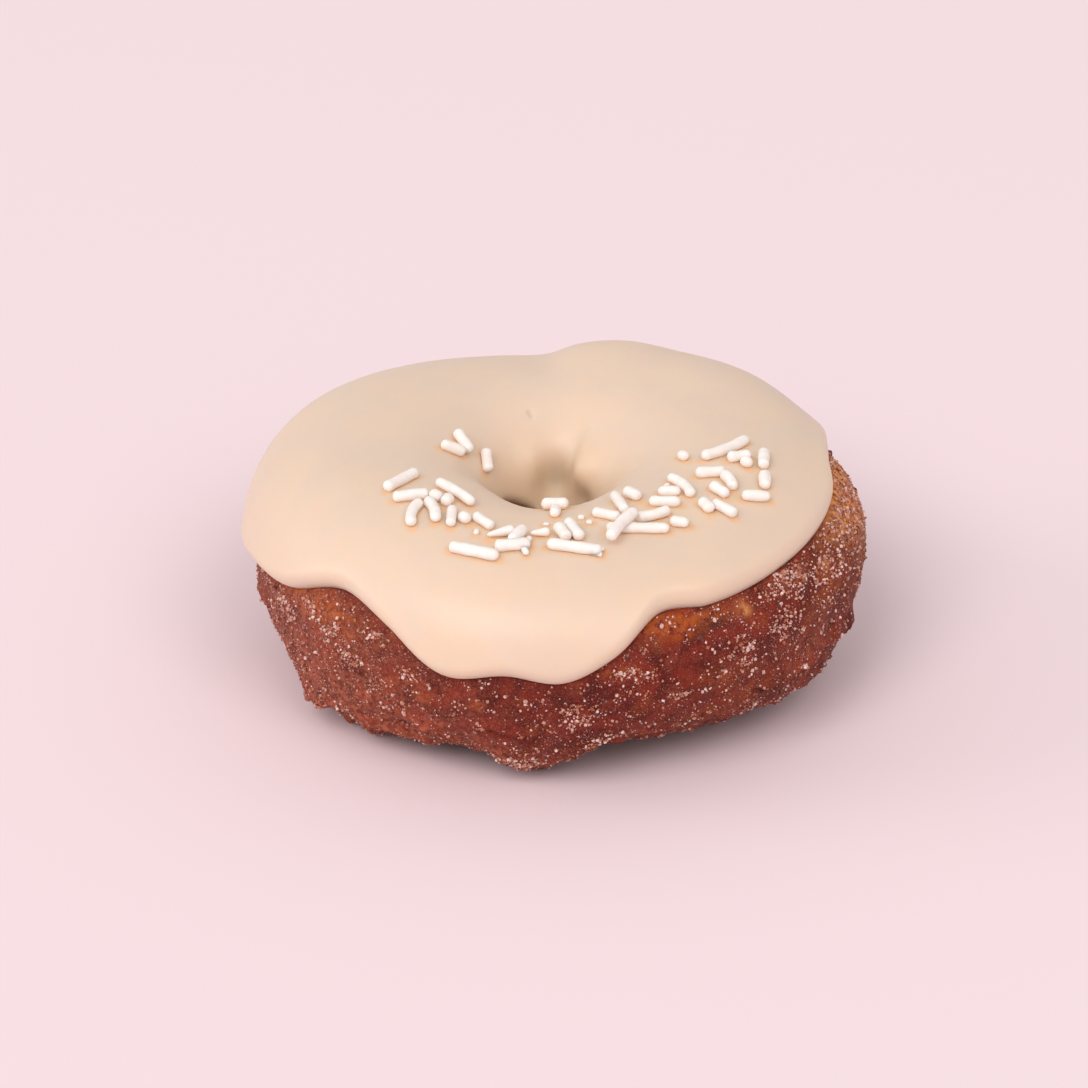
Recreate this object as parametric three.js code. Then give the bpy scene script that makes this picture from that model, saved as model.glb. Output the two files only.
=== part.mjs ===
// A frosted ring doughnut: a ring of fried dough that stands on its own base, and a cap of icing
// that lies over its top, runs down into the hole and hangs down one side in a broad tongue.
//
// Millimetres, +Z up. The origin is on the table, under the middle of the doughnut.
// Two angles in degrees name every place on the ring:
//   the ring angle goes round it, 0 at +X and 90 at +Y;
//   the section angle goes round a cut through the dough, 0 outermost, 90 at the top,
//   180 innermost and 270 at the base.

import * as THREE from 'three';

// Driving dimensions.

const ringCentre = new THREE.Vector2(0.6, 1.3);
const holeOffset = new THREE.Vector2(-1.2, -2.0); // the hole is punched a little off the middle
const crestRadius = 27; // of the circle along the top of the ring
const widestHeight = 20; // at which the ring is widest

// A measure that is uneven is a list of stops round the ring: [ring angle, value].
const outerRadius = [
  [-150, 45.2], [-90, 46.0], [-40, 45.6], [-18, 45.8], [-2, 46.1], [12, 45.4], [24, 44.8],
  [46, 46.2], [72, 45.0], [98, 42.8], [122, 44.6], [145, 46.2], [172, 45.4],
];
const holeRadius = [
  [-165, 10.0], [-138, 10.3], [-102, 12.0], [-75, 10.8], [-50, 9.8], [0, 9.6], [45, 9.4],
  [82, 10.8], [122, 9.8],
];
// The top of the dough, on the outer side and, smoother, on the side of the hole.
const topHeight = [
  [-135, 34.8], [-90, 33.4], [-45, 34.3], [0, 34.4], [13, 33.8], [28, 34.1], [47, 34.8],
  [60, 34.7], [73, 35.3], [83, 34.4], [91, 32.4], [104, 32.6], [120, 33.3], [134, 34.0],
  [148, 34.4], [180, 34.3],
];
const topHeightInside = [
  [-135, 34.8], [-90, 33.4], [-45, 34.3], [0, 34.5], [40, 34.4], [70, 34.1], [98, 33.5],
  [125, 33.5], [150, 34.2], [180, 34.3],
];
// The section angles between which the one passes into the other.
const insideStart = 60;
const insideEnd = 115;
// Below 0 the dough is flattened on the table, and above 0 it stands clear of it.
const baseHeight = [
  [-170, -1.5], [-140, -1.0], [-122, 1.6], [-108, 2.0], [-96, -0.8], [-88, 0], [-79, 3.6],
  [-68, 3.8], [-56, 2.8], [-42, 2.8], [-28, 1.2], [-12, -1.5], [10, -1.0], [90, -1.5],
];

// How full each quarter of the section is: 2 is an ellipse, and more is squarer.
const fullnessTopOuter = 2.3;
const fullnessTopInner = 2.7;
const fullnessBaseInner = 2.0;
const fullnessBaseOuter = [
  [-180, 2.0], [-145, 2.4], [-100, 2.15], [-60, 2.1], [-30, 2.25], [-12, 1.95], [20, 2.1], [135, 2.2],
];

// The section angle at which the icing ends on the outside: low values hang further down.
const icingOuterEdge = [
  [-163, 7], [-150, 13], [-134, 29.5], [-122, 20], [-110, 1], [-99, 6], [-89, 3], [-80, 17],
  [-71, 37], [-60, 36], [-35, 39.5], [-13, 43.5], [1, 47], [12, 41], [25, 27], [45, 20], [65, 24],
  [90, 8], [120, 20], [150, 5], [180, -2],
];
// The section angle at which it ends inside the hole: at the left it stops short, above the base.
const icingInnerEdge = [
  [-170, 192], [-150, 201], [-100, 205], [0, 205], [60, 205], [85, 197], [103, 184], [118, 175],
  [136, 169], [152, 167], [168, 175],
];
const icingHeight = 2.2; // of its surface over the dough
const icingLip = 2.4; // width of the rounded lip at its edges
const seam = 0.3; // clearance between the dough and the icing

const sectionsRound = 64; // sections round the ring
const rowsIced = 20; // steps across the iced part of a section
const rowsBare = 15; // steps across the bare part
const rowsInLip = 4; // of the iced steps, those in the outer lip
const tangentStep = 0.5; // degrees to either side of a point between which a tangent is taken

const doughColour = 0x8a4638;
const doughRoughness = 0.85;
const icingColour = 0xf3dcc2;
const icingRoughness = 0.35;

// A smooth closed curve through the stops: each span is a cubic, and at a stop the slope is
// that of the parabola through it and its two neighbours.
function valueAround(stops, ringAngle) {
  if (typeof stops === 'number') {
    return stops;
  }
  const count = stops.length;
  const stop = (i) => {
    const lap = Math.floor(i / count);
    const [angle, value] = stops[i - lap * count];
    return { angle: angle + 360 * lap, value };
  };
  const slope = (i) => {
    const [before, here, after] = [stop(i - 1), stop(i), stop(i + 1)];
    const spanBefore = here.angle - before.angle;
    const spanAfter = after.angle - here.angle;
    const slopeBefore = (here.value - before.value) / spanBefore;
    const slopeAfter = (after.value - here.value) / spanAfter;
    return (slopeBefore * spanAfter + slopeAfter * spanBefore) / (spanBefore + spanAfter);
  };
  const angle = stops[0][0] + THREE.MathUtils.euclideanModulo(ringAngle - stops[0][0], 360);
  let i = 0;
  while (stop(i + 1).angle <= angle) {
    i += 1;
  }
  const span = stop(i + 1).angle - stop(i).angle;
  const t = (angle - stop(i).angle) / span;
  const rise = t * t * (3 - 2 * t);
  return (
    stop(i).value * (1 - rise) +
    stop(i + 1).value * rise +
    span * t * (1 - t) * ((1 - t) * slope(i) - t * slope(i + 1))
  );
}

// A section is made of four quarter superellipses that meet at the crest and at the widest height.
function ringPoint(ringAngle, sectionAngle) {
  const outer = valueAround(outerRadius, ringAngle);
  const hole = valueAround(holeRadius, ringAngle);
  const topOutside = valueAround(topHeight, ringAngle);
  const topInside = valueAround(topHeightInside, ringAngle);
  const inside = THREE.MathUtils.smoothstep(sectionAngle, insideStart, insideEnd);
  const top = THREE.MathUtils.lerp(topOutside, topInside, inside);
  const base = valueAround(baseHeight, ringAngle);

  const section = THREE.MathUtils.degToRad(sectionAngle);
  const outward = Math.cos(section);
  const upward = Math.sin(section);
  const fullnessTop = outward > 0 ? fullnessTopOuter : fullnessTopInner;
  const fullnessBase = outward > 0 ? fullnessBaseOuter : fullnessBaseInner;
  const fullness = valueAround(upward > 0 ? fullnessTop : fullnessBase, ringAngle);
  const reach = (Math.abs(outward) ** fullness + Math.abs(upward) ** fullness) ** (-1 / fullness);

  const halfWidth = outward > 0 ? outer - crestRadius : crestRadius - hole;
  const halfHeight = upward > 0 ? top - widestHeight : widestHeight - base;
  const radius = crestRadius + halfWidth * reach * outward;
  const height = Math.max(0, widestHeight + halfHeight * reach * upward);

  // The centre slides from the ring's own, at the outside, to that of the hole.
  const share = (outer - radius) / (outer - hole);
  const ring = THREE.MathUtils.degToRad(ringAngle);
  return new THREE.Vector3(
    ringCentre.x + holeOffset.x * share + radius * Math.cos(ring),
    ringCentre.y + holeOffset.y * share + radius * Math.sin(ring),
    height,
  );
}

// The point that lies a given distance above the dough, square to its surface.
function pointOver(ringAngle, sectionAngle, distance) {
  const before = ringPoint(ringAngle - tangentStep, sectionAngle);
  const after = ringPoint(ringAngle + tangentStep, sectionAngle);
  const below = ringPoint(ringAngle, sectionAngle - tangentStep);
  const above = ringPoint(ringAngle, sectionAngle + tangentStep);
  const normal = after.sub(before).cross(above.sub(below)).normalize();
  return ringPoint(ringAngle, sectionAngle).addScaledVector(normal, distance);
}

// The section angles of the rows under the icing, from its outer edge to its inner one. They are
// closer together in the outer lip, so that its rounding shows.
function icedRows(ringAngle) {
  const outerEdge = valueAround(icingOuterEdge, ringAngle);
  const innerEdge = valueAround(icingInnerEdge, ringAngle);
  const start = ringPoint(ringAngle, outerEdge);
  const near = ringPoint(ringAngle, outerEdge + 1);
  const lipAngle = icingLip / start.distanceTo(near);
  const rows = [];
  for (let i = 0; i <= rowsIced; i += 1) {
    if (i < rowsInLip) {
      rows.push(outerEdge + lipAngle * (1 - Math.cos((Math.PI / 2) * (i / rowsInLip))));
    } else {
      const share = (i - rowsInLip) / (rowsIced - rowsInLip);
      rows.push(THREE.MathUtils.lerp(outerEdge + lipAngle, innerEdge, share));
    }
  }
  return rows;
}

function doughSection(ringAngle) {
  const iced = icedRows(ringAngle);
  const first = iced[iced.length - 1];
  const last = iced[0] + 360;
  const bare = [];
  for (let i = 1; i < rowsBare; i += 1) {
    bare.push(THREE.MathUtils.lerp(first, last, i / rowsBare));
  }
  return [...iced, ...bare].map((sectionAngle) => ringPoint(ringAngle, sectionAngle));
}

// The icing's underside follows the dough row by row. Its surface starts from the underside at
// both edges and rises to its full height across the lip, along a quarter of an ellipse.
function icingSection(ringAngle) {
  const rows = icedRows(ringAngle);
  const underside = rows.map((row) => pointOver(ringAngle, row, seam));
  const surface = rows.map((row, i) => {
    const fromOuter = underside[i].distanceTo(underside[0]);
    const fromInner = underside[i].distanceTo(underside[rowsIced]);
    const share = Math.min(1, Math.min(fromOuter, fromInner) / icingLip);
    const rise = Math.sqrt(1 - (1 - share) ** 2);
    return pointOver(ringAngle, row, seam + (icingHeight - seam) * rise);
  });
  return [...surface, ...underside.slice(1, rowsIced).reverse()];
}

// Joins the sections, each a closed loop of points, into one closed skin round the ring.
function skinOfSections(sectionAt) {
  const sections = [];
  for (let i = 0; i < sectionsRound; i += 1) {
    sections.push(sectionAt((360 * i) / sectionsRound));
  }
  const rows = sections[0].length;
  const index = [];
  for (let i = 0; i < sectionsRound; i += 1) {
    const next = (i + 1) % sectionsRound;
    for (let j = 0; j < rows; j += 1) {
      const above = (j + 1) % rows;
      const corners = [i * rows + j, next * rows + j, next * rows + above, i * rows + above];
      index.push(corners[0], corners[1], corners[2]);
      index.push(corners[0], corners[2], corners[3]);
    }
  }
  const geometry = new THREE.BufferGeometry().setFromPoints(sections.flat());
  geometry.setIndex(index);
  geometry.computeVertexNormals();
  return geometry;
}

function piece(name, sectionAt, colour, roughness) {
  const material = new THREE.MeshStandardMaterial({ color: colour, roughness, metalness: 0 });
  const mesh = new THREE.Mesh(skinOfSections(sectionAt), material);
  mesh.name = name;
  return mesh;
}

const doughnut = new THREE.Group();
doughnut.add(piece('dough_ring', doughSection, doughColour, doughRoughness));
doughnut.add(piece('icing_cap', icingSection, icingColour, icingRoughness));

export default doughnut;
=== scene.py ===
import bpy
import numpy as np
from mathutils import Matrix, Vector


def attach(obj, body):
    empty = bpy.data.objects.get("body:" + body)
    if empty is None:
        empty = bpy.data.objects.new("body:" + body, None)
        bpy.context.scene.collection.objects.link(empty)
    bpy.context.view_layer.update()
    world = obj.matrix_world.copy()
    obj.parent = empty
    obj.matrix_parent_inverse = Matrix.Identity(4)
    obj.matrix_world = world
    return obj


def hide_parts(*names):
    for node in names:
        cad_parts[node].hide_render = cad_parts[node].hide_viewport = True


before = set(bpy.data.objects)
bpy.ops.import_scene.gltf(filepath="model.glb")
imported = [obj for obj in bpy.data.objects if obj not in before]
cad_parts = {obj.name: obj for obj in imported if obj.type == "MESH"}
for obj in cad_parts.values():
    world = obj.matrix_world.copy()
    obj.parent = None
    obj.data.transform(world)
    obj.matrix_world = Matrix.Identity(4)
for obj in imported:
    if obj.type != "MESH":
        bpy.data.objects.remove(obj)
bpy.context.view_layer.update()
print("frame loaded:", sorted(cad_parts))

mm = 0.001  # sizes below are in millimetres, and angles in degrees
tiny = 1e-9

# Two angles name a place on the ring. The ring angle goes round it, 0 at +X and 90 at +Y.
# The section angle goes round a cut through the dough: 0 outermost, 90 at the top,
# 180 innermost and 270 at the base. An uneven measure is a list of (ring angle, value) stops.
ring = {
    "centre": (0.6, 1.3),
    "holeOffset": (-1.2, -2.0),  # the hole is a little off the middle
    "crestRadius": 27.0,
    "widestHeight": 20.0,
    "outerRadius": [
        (-150, 45.2), (-90, 46.0), (-40, 45.6), (-18, 45.8), (-2, 46.1), (12, 45.4), (24, 44.8),
        (46, 46.2), (72, 45.0), (98, 42.8), (122, 44.6), (145, 46.2), (172, 45.4)],
    "holeRadius": [
        (-165, 10.0), (-138, 10.3), (-102, 12.0), (-75, 10.8), (-50, 9.8), (0, 9.6), (45, 9.4),
        (82, 10.8), (122, 9.8)],
    "topHeight": [
        (-135, 34.8), (-90, 33.4), (-45, 34.3), (0, 34.4), (13, 33.8), (28, 34.1), (47, 34.8),
        (60, 34.7), (73, 35.3), (83, 34.4), (91, 32.4), (104, 32.6), (120, 33.3), (134, 34.0),
        (148, 34.4), (180, 34.3)],
    # the top on the side of the hole, and the section angles between which it takes over
    "topHeightInside": [
        (-135, 34.8), (-90, 33.4), (-45, 34.3), (0, 34.5), (40, 34.4), (70, 34.1), (98, 33.5),
        (125, 33.5), (150, 34.2), (180, 34.3)],
    "insideFrom": (60, 115),
    # below 0 the dough is flattened on the table
    "baseHeight": [
        (-170, -1.5), (-140, -1.0), (-122, 1.6), (-108, 2.0), (-96, -0.8), (-88, 0), (-79, 3.6),
        (-68, 3.8), (-56, 2.8), (-42, 2.8), (-28, 1.2), (-12, -1.5), (10, -1.0), (90, -1.5)],
    "fullTopOuter": 2.3,  # 2 is an ellipse, and more is squarer
    "fullTopInner": 2.7,
    "fullBaseInner": 2.0,
    "fullBaseOuter": [
        (-180, 2.0), (-145, 2.4), (-100, 2.15), (-60, 2.1), (-30, 2.25), (-12, 1.95), (20, 2.1),
        (135, 2.2)],
}


def unit(vectors):
    # vectors divided by their lengths
    return vectors / np.maximum(np.linalg.norm(vectors, axis=-1, keepdims=True), tiny)


def smoothStep(low, high, x):
    # 0 at low, 1 at high, and 3t^2 - 2t^3 between
    t = np.clip((x - low) / (high - low), 0, 1)
    return t * t * (3 - 2 * t)


def turnsApart(first, second):
    # how far the first angle is past the second, from -180 to 180
    return (first - second + 180) % 360 - 180


def aroundRing(angle, stops):
    # A closed curve through the stops: a cubic over each span, whose slope at a stop is that of
    # the parabola through it and its two neighbours.
    if isinstance(stops, (int, float)):
        return np.full(np.shape(angle), float(stops))
    at, value = (np.array(column, float) for column in zip(*stops))
    at = np.concatenate([at - 360, at, at + 360])
    value = np.tile(value, 3)
    slope = np.gradient(value, at)
    x = (angle - stops[0][0]) % 360 + stops[0][0]
    i = np.searchsorted(at, x, side="right") - 1
    span = at[i + 1] - at[i]
    t = (x - at[i]) / span
    rise = t * t * (3 - 2 * t)
    swing = span * t * (1 - t) * ((1 - t) * slope[i] - t * slope[i + 1])
    return value[i] * (1 - rise) + value[i + 1] * rise + swing


def ringSurface(ringAngle, sectionAngle):
    # Four quarter superellipses |out|^n + |up|^n = 1 meet at the crest and at the widest height.
    # The middle of the ring slides to the middle of the hole from the outside inwards.
    outer, hole, topOutside, topInside, base, topOuter, topInner, baseOuter, baseInner = (
        aroundRing(ringAngle, ring[name]) for name in
        ("outerRadius", "holeRadius", "topHeight", "topHeightInside", "baseHeight", "fullTopOuter",
         "fullTopInner", "fullBaseOuter", "fullBaseInner"))
    top = topOutside + (topInside - topOutside) * smoothStep(*ring["insideFrom"], sectionAngle)
    out = np.cos(np.radians(sectionAngle))
    up = np.sin(np.radians(sectionAngle))
    full = np.where(up > 0, np.where(out > 0, topOuter, topInner),
                    np.where(out > 0, baseOuter, baseInner))
    reach = (np.abs(out) ** full + np.abs(up) ** full) ** (-1 / full)
    crest, widest = ring["crestRadius"], ring["widestHeight"]
    radius = crest + np.where(out > 0, outer - crest, crest - hole) * reach * out
    height = widest + np.where(up > 0, top - widest, widest - base) * reach * up
    inwards = (outer - radius) / (outer - hole)
    turn = np.radians(ringAngle)
    return np.stack([
        ring["centre"][0] + ring["holeOffset"][0] * inwards + radius * np.cos(turn),
        ring["centre"][1] + ring["holeOffset"][1] * inwards + radius * np.sin(turn),
        np.maximum(0, height),
    ], -1)


def crossOfTangents(ringAngle, sectionAngle, step=0.3):
    # The cross product of the ring's two tangents, from points a small step to either side. It
    # points outwards, and its length is the area that one square degree covers.
    ahead, behind = (ringSurface(ringAngle + turn, sectionAngle) for turn in (step, -step))
    above, below = (ringSurface(ringAngle, sectionAngle + turn) for turn in (step, -step))
    return np.cross(ahead - behind, above - below) / (2 * step) ** 2


def ringNormals(ringAngle, sectionAngle):
    # square to the ring, of length 1
    return unit(crossOfTangents(ringAngle, sectionAngle))


def pointsOver(ringAngle, sectionAngle, height):
    # the ring's points moved by a height along its normals
    normals = ringNormals(ringAngle, sectionAngle)
    return ringSurface(ringAngle, sectionAngle) + normals * height[..., None]


def spots(ringAngle, sectionAngle, places):
    # A sum of bells over the ring, one for each (ring angle, section angle, width along the
    # ring, width across it, height): height * exp(-d^2 / 2), with d counted in widths.
    total = 0
    for along, across, wide, tall, height in places:
        distance = (turnsApart(ringAngle, along) / wide) ** 2
        distance = distance + (turnsApart(sectionAngle, across) / tall) ** 2
        total = total + height * np.exp(-distance / 2)
    return total


hashPrimes = (73856093, 19349663, 83492791)
hashSize = 4096
noiseHeight = 1.7  # brings the noise to about -1 to 1
octaveShift = 17.3  # so that the corners of two octaves don't meet

# Each kind of unevenness draws from its own seed, and a list of sizes counts up from it.
seeds = {"relief": 1, "rim": 11, "pits": 21, "flakeEdges": 24, "flakes": 25, "sugarDrifts": 31,
         "sugarPatches": 32, "sugarClumps": 34, "icing": 51, "sprinkles": 61}


def cornerKey(corner):
    # a lattice corner's place in a table of random draws
    mixed = corner[..., 0] * hashPrimes[0] ^ corner[..., 1] * hashPrimes[1]
    return (mixed ^ corner[..., 2] * hashPrimes[2]) & (hashSize - 1)


def noise(points, size, seed, octaves=1):
    # Gradient noise, about -1 to 1: each corner of a cubic lattice has a random slope, and the
    # eight round a point are blended by 6t^5 - 15t^4 + 10t^3. Each octave halves size and height.
    slopes = unit(np.random.default_rng(seed).normal(size=(hashSize, 3)))
    total = 0
    for octave in range(octaves):
        place = points * 2 ** octave / size + octaveShift * octave
        cell = np.floor(place).astype(np.int64)
        part = place - cell
        blend = part ** 3 * (part * (part * 6 - 15) + 10)
        for corner in np.ndindex(2, 2, 2):
            weight = np.where(corner, blend, 1 - blend).prod(-1)
            slope = slopes[cornerKey(cell + corner)]
            rise = ((part - corner) * slope).sum(-1)
            total = total + weight * rise * noiseHeight / 2 ** octave
    return total


def nearestSeed(points, size, seed):
    # The distance to the nearest of a set of scattered seeds, one in each cube of a lattice,
    # in cube sides, with a random number from 0 to 1 that belongs to that seed.
    draws = np.random.default_rng(seed).random((hashSize, 4))
    place = points / size
    cell = np.floor(place).astype(np.int64)
    nearest = np.full(points.shape[:-1], np.inf)
    label = np.zeros(points.shape[:-1])
    for offset in np.ndindex(3, 3, 3):
        corner = cell + offset - 1
        draw = draws[cornerKey(corner)]
        away = np.linalg.norm(corner + draw[..., :3] - place, axis=-1)
        label = np.where(away < nearest, draw[..., 3], label)
        nearest = np.minimum(nearest, away)
    return nearest, label


def gridFaces(columns, rows):
    # quads of a grid that closes on itself both ways, its columns one after another
    row = np.arange(rows)
    column = np.arange(columns)[:, None] * rows
    nextRow, nextColumn = np.roll(row, -1), np.roll(column, -1)
    quads = [column + row, nextColumn + row, nextColumn + nextRow, column + nextRow]
    return np.stack(quads, -1).reshape(-1, 4)


def capsuleFaces(rings, sides, count):
    # count equal bodies, each of some rings of points and then its two poles: quads along the
    # wall and a fan of triangles at each pole
    side = np.arange(sides)
    nextSide = (side + 1) % sides
    start = np.arange(rings - 1)[:, None] * sides
    quads = np.stack([start + side, start + nextSide,
                      start + sides + nextSide, start + sides + side], -1)
    last, firstPole = (rings - 1) * sides, rings * sides
    fans = np.concatenate([
        np.stack([nextSide, side, np.full(sides, firstPole)], -1),
        np.stack([last + side, last + nextSide, np.full(sides, firstPole + 1)], -1)])
    bodies = np.arange(count)[:, None, None] * (firstPole + 2)
    return (quads.reshape(1, -1, 4) + bodies).reshape(-1, 4), (fans + bodies).reshape(-1, 3)


def addObject(name, data):
    # puts it into the scene
    made = bpy.data.objects.new(name, data)
    bpy.context.scene.collection.objects.link(made)
    return made


def meshPiece(name, points, faceSets, attributes, smooth=True, replaces=()):
    # points (n, 3) in millimetres, and sets of faces as rows of point numbers, become one piece
    corners = np.concatenate([faces.ravel() for faces in faceSets]).astype(np.int32)
    sides = np.concatenate([np.full(len(faces), faces.shape[1]) for faces in faceSets])
    mesh = bpy.data.meshes.new(name)
    mesh.vertices.add(len(points))
    mesh.vertices.foreach_set("co", (points * mm).astype(np.float32).ravel())
    mesh.loops.add(len(corners))
    mesh.loops.foreach_set("vertex_index", corners)
    mesh.polygons.add(len(sides))
    mesh.polygons.foreach_set("loop_start", (np.cumsum(sides) - sides).astype(np.int32))
    mesh.polygons.foreach_set("use_smooth", np.full(len(sides), smooth))
    mesh.update(calc_edges=True)
    for label, values in attributes.items():
        column = mesh.attributes.new(label, "FLOAT", "POINT")
        column.data.foreach_set("value", np.asarray(values, np.float32).ravel())
    piece = addObject(name, mesh)
    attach(piece, "root")
    if replaces:
        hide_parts(*replaces)
    print(name, int((sides - 2).sum()), "triangles")
    return piece


# the crust needs the icing's outline, so its sizes stand first
icing = {
    "outerEdge": [
        (-163, 7), (-150, 13), (-134, 29.5), (-122, 20), (-110, 1), (-99, 6), (-89, 3), (-80, 17),
        (-71, 37), (-60, 36), (-35, 39.5), (-13, 43.5), (1, 47), (12, 41), (25, 27), (45, 20),
        (65, 24), (90, 8), (120, 20), (150, 5), (180, -2)],
    "innerEdge": [
        (-170, 192), (-150, 201), (-100, 205), (0, 205), (60, 205), (85, 197), (103, 184),
        (118, 175), (136, 169), (152, 167), (168, 175)],
    "height": 2.2,
    "lip": 2.4,  # how far in from its edge the icing reaches its height
    "sunk": 0.7,  # how far its edge and underside lie in the dough
    "bead": (2.4, 1.3, 0.16),  # a rounded ridge inside the lip: distance in, width, height
    "swell": (16.0, 0.12),  # size and height of the slow waves in it
    "ripple": (5.5, 0.03),
    "dents": [(102, 126, 1.0, 1.5, -0.4), (-75, 64, 7, 2.5, -0.12), (-110, 74, 8, 2.5, -0.10),
              (-56, 48, 5, 4, 0.22), (-2, 70, 3, 6, -0.08), (-128, 58, 6, 3, 0.12)],
    "folds": [(106, 147, 9, 7, 0.6), (84, 162, 13, 9, -2.0), (47, 151, 13, 8, 2.1),
              (42, 165, 8, 6, -1.0), (68, 141, 4, 8, -0.5)],  # in the wall of the hole
    "holeShade": (128, 168),  # section angles between which it takes on painted warm shade, down in the hole
    "stainAndShade": [(140, 160, 26, 14, 1.0)],  # browner beside bare dough where the icing is thin, and painted shade next to the dark crack in the hole
    "stainAndShadeReach": 7,  # section degrees from the inner edge
    "columns": 600,
    "rowsLip": 14,
    "rowsTop": 118,
    "rowsUnder": 8,
    "lipAngle": 9.0,
}


def icingEdge(ringAngle):
    # the section angle of its outer edge
    return aroundRing(ringAngle, icing["outerEdge"])


crust = {
    "columns": 600,
    "rowsShown": 118,  # from the base's rim up to just under the icing
    "rowsBase": 30,
    "rowsCovered": 14,
    "rim": -95.0,  # the section angle where the base begins
    "holeRow": 205.0,  # and the one in the hole where the rows start
    "underIcing": 6,  # section degrees by which the shown rows run in under the icing
    "sunkUnderIcing": 0.65,
    # how far outside and inside the icing's edge it sinks to that, in section degrees
    "sinks": (2, 3),
    "lumps": (9.0, 0.45),  # size and height of the relief, coarse to fine
    "knobs": (3.2, 0.22),
    "grit": (1.2, 0.10),
    "rimKnobs": (3.4, 0.85),  # the same on the ragged lower edge only
    "rimGrit": (1.5, 0.4),
    "ragged": ((-25, -60), (-150, -110)),  # where the rim's sets in, from above and from below
    # small craters low on the side: spacing, depth, width in spacings, and how rare they are
    "pits": (6.5, 0.9, 0.13, 0.72),
    "pitted": (10, -20),  # section angles over which they set in
    # shelves with a steep lower edge: ring angle, edge, width, length upwards and height
    "flakes": [
        (-146, -42, 7, 14, 1.1), (-130, -46, 6, 10, 0.8), (-117, -38, 7, 12, 0.9),
        (-100, -26, 7, 10, 1.0), (-84, -39, 8, 12, 0.8), (-68, -44, 6, 9, 0.8),
        (-54, -36, 6, 10, 0.7), (-40, -24, 9, 12, 1.9), (-24, -21, 8, 10, 1.7),
        (-8, -36, 8, 12, 0.8)],
    # the others, at the back: how many, and the ranges of the same five measures
    "looseFlakes": 22,
    "looseRanges": ((5, 205), (-48, -8), (4, 9), (7, 14), (0.3, 0.8)),
    "flakeWave": (2.4, 3.5),  # size and height of the waves in their lower edges
    "flakeRise": 2.5,
    "flakeGroove": (1.8, 0.6),  # width and depth
    "bumps": [
        (-149, -42, 3.5, 6, 1.1), (-141, -46, 2.5, 5, -0.8), (-121, -38, 1.8, 4, -1.2),
        (-157, -15, 8, 14, -0.5), (-100, -48, 5, 6, 0.4), (-31, -30, 2.2, 2.6, -0.9),
        (-30, -40, 10, 7, 1.5), (4, -10, 4, 6, -0.4), (3, 30, 6, 8, 0.4)],
    "hollowBelow": 0.5,  # height of the relief under which a place gets painted shade
    "hollowest": 2,
}


def flakes(ringAngle, sectionAngle, points):
    # Each flake rises steeply at its wavy lower edge, over a groove, and fades out upwards.
    rng = np.random.default_rng(seeds["flakes"])
    loose = zip(*(rng.uniform(*span, crust["looseFlakes"]) for span in crust["looseRanges"]))
    waveSize, waveHeight = crust["flakeWave"]
    wave = waveHeight * noise(points, waveSize, seeds["flakeEdges"])
    grooveWidth, grooveDepth = crust["flakeGroove"]
    total = 0
    for along, lowerEdge, wide, tall, height in [*crust["flakes"], *loose]:
        above = sectionAngle - lowerEdge + wave
        rise = smoothStep(0, crust["flakeRise"], above) * smoothStep(tall, 0, above)
        groove = grooveDepth * np.exp(-((above + grooveWidth) / grooveWidth) ** 2)
        fade = np.exp(-(turnsApart(ringAngle, along) / wide) ** 4)
        total = total + height * (rise - groove) * fade
    return total


def crustRelief(ringAngle, sectionAngle, points):
    # Lumps, knobs and grit on one another, ragged towards the rim, with craters and flakes low
    # on the side, and the listed bumps.
    relief = sum(height * noise(points, size, seed) for seed, (size, height) in
                 enumerate((crust["lumps"], crust["knobs"], crust["grit"]), seeds["relief"]))
    fromAbove, fromBelow = crust["ragged"]
    low = smoothStep(*fromAbove, sectionAngle) * smoothStep(*fromBelow, sectionAngle)
    for seed, (size, height) in enumerate((crust["rimKnobs"], crust["rimGrit"]), seeds["rim"]):
        relief = relief + low * height * noise(points, size, seed)
    spacing, depth, width, rarity = crust["pits"]
    nearest, label = nearestSeed(points, spacing, seeds["pits"])
    pitted = smoothStep(*crust["pitted"], sectionAngle) * (label > rarity)
    relief = relief - pitted * depth * np.exp(-(nearest / width) ** 2 / 2)
    relief = relief + flakes(ringAngle, sectionAngle, points)
    return relief + spots(ringAngle, sectionAngle, crust["bumps"])


def crustSurface(ringAngle, sectionAngle):
    # the ring with its relief along the normal; under the icing it lies a little lower
    relief = crustRelief(ringAngle, sectionAngle, ringSurface(ringAngle, sectionAngle))
    outside, inside = crust["sinks"]
    fromOuter = sectionAngle - icingEdge(ringAngle)
    fromInner = sectionAngle - aroundRing(ringAngle, icing["innerEdge"])
    under = smoothStep(-outside, inside, fromOuter) * smoothStep(outside, -inside, fromInner)
    relief = relief * (1 - under) - crust["sunkUnderIcing"] * under
    points = pointsOver(ringAngle, sectionAngle, relief)
    points[..., 2] = np.maximum(points[..., 2], 0)
    return points


# how thickly sugar lies: all over, in drifts and patches (size and height), and at some places
sugarCoat = {
    "allOver": 0.42,
    "drifts": (8.0, 0.30),
    "patches": (2.4, 0.18),
    "places": [
        (-148, 5, 14, 20, 0.45), (-135, -20, 14, 14, 0.35), (-122, 12, 10, 14, 0.25),
        (-86, -15, 6, 8, 0.3), (-52, 4, 8, 12, 0.3), (-40, -10, 12, 14, 0.3),
        (-6, 36, 14, 9, 0.15), (-40, 31, 5, 4, 0.4), (-98, -48, 12, 8, 0.2), (-62, -34, 8, 5, 0.3),
        (-68, 2, 7, 9, -0.3), (-100, 0, 9, 8, -0.2), (-22, 2, 7, 9, -0.2)],
}


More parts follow.
